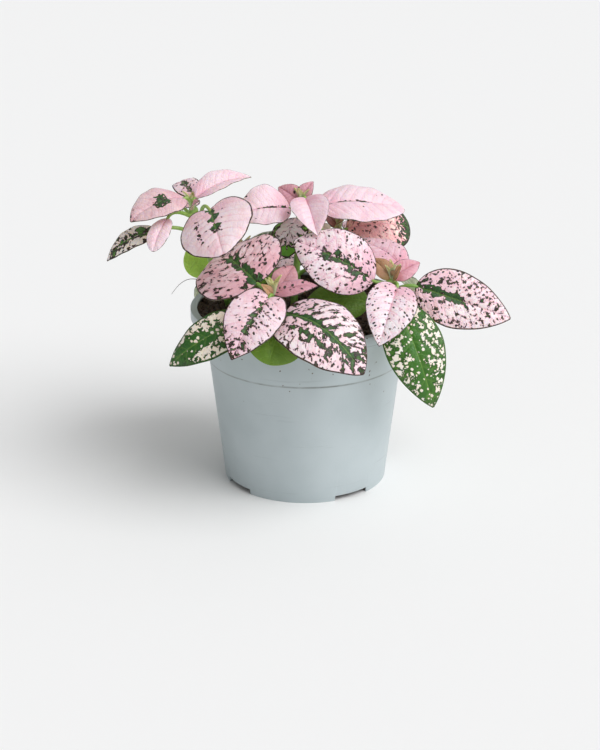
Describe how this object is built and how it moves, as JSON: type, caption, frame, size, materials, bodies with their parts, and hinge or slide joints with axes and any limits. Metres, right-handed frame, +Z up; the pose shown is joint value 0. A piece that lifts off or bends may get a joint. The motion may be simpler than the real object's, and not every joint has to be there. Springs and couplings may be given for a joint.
{
  "type": "potted polka dot plant",
  "caption": "Young polka dot plant with pink and green speckled leaves on short branching stems, growing in a small round plastic nursery pot filled with peat.",
  "frame": {"origin": "the middle of the pot's foot, on the surface that it stands on", "axes": "+Z up; -Y towards the plant's best side; +X along its widest spread"},
  "size_m": [0.1035, 0.0821, 0.0819],
  "materials": {
    "pot_plastic": "injection-moulded polypropylene, lightly scuffed",
    "peat": "dark brown potting peat, loose and crumbly",
    "stem_green": "soft green stem, slightly waxy",
    "leaf_blush": "leaf, almost all pale pink, satin",
    "leaf_dotted": "leaf, pink with dark green dots, satin",
    "leaf_mottled": "leaf, pink broken up by green, satin",
    "leaf_specked": "leaf, green with cream specks, satin",
    "leaf_green": "leaf, plain green, satin"
  },
  "bodies": {
    "root": {"pot": "pot_plastic", "soil": "peat", "stem_left": "stem_green", "leaf_left_1": "leaf_blush", "leaf_left_2": "leaf_dotted", "leaf_left_3": "leaf_blush", "leaf_left_4": "leaf_blush", "leaf_left_5": "leaf_mottled", "leaf_left_6": "leaf_blush", "leaf_left_7": "leaf_green", "leaf_left_8": "leaf_dotted", "leaf_left_9": "leaf_mottled", "stem_front": "stem_green", "leaf_front_1": "leaf_dotted", "leaf_front_2": "leaf_dotted", "leaf_front_3": "leaf_specked", "leaf_front_4": "leaf_mottled", "leaf_front_5": "leaf_green", "stem_middle": "stem_green", "leaf_middle_1": "leaf_blush", "leaf_middle_2": "leaf_blush", "leaf_middle_3": "leaf_blush", "leaf_middle_4": "leaf_mottled", "leaf_middle_5": "leaf_specked", "leaf_middle_6": "leaf_dotted", "leaf_middle_7": "leaf_specked", "leaf_middle_8": "leaf_green", "stem_right": "stem_green", "leaf_right_1": "leaf_dotted", "leaf_right_2": "leaf_dotted", "leaf_right_3": "leaf_mottled", "leaf_right_4": "leaf_dotted", "leaf_right_5": "leaf_specked", "leaf_right_6": "leaf_green", "leaf_right_7": "leaf_mottled", "stem_inner": "stem_green", "leaf_inner_1": "leaf_mottled", "leaf_inner_2": "leaf_dotted", "leaf_inner_3": "leaf_specked", "stem_back": "stem_green", "leaf_back_1": "leaf_blush", "leaf_back_2": "leaf_mottled", "leaf_back_3": "leaf_dotted", "leaf_back_4": "leaf_specked", "stem_rear": "stem_green", "leaf_rear_1": "leaf_dotted", "leaf_rear_2": "leaf_mottled", "leaf_rear_3": "leaf_specked", "leaf_rear_4": "leaf_green"}
  },
  "joints": []
}
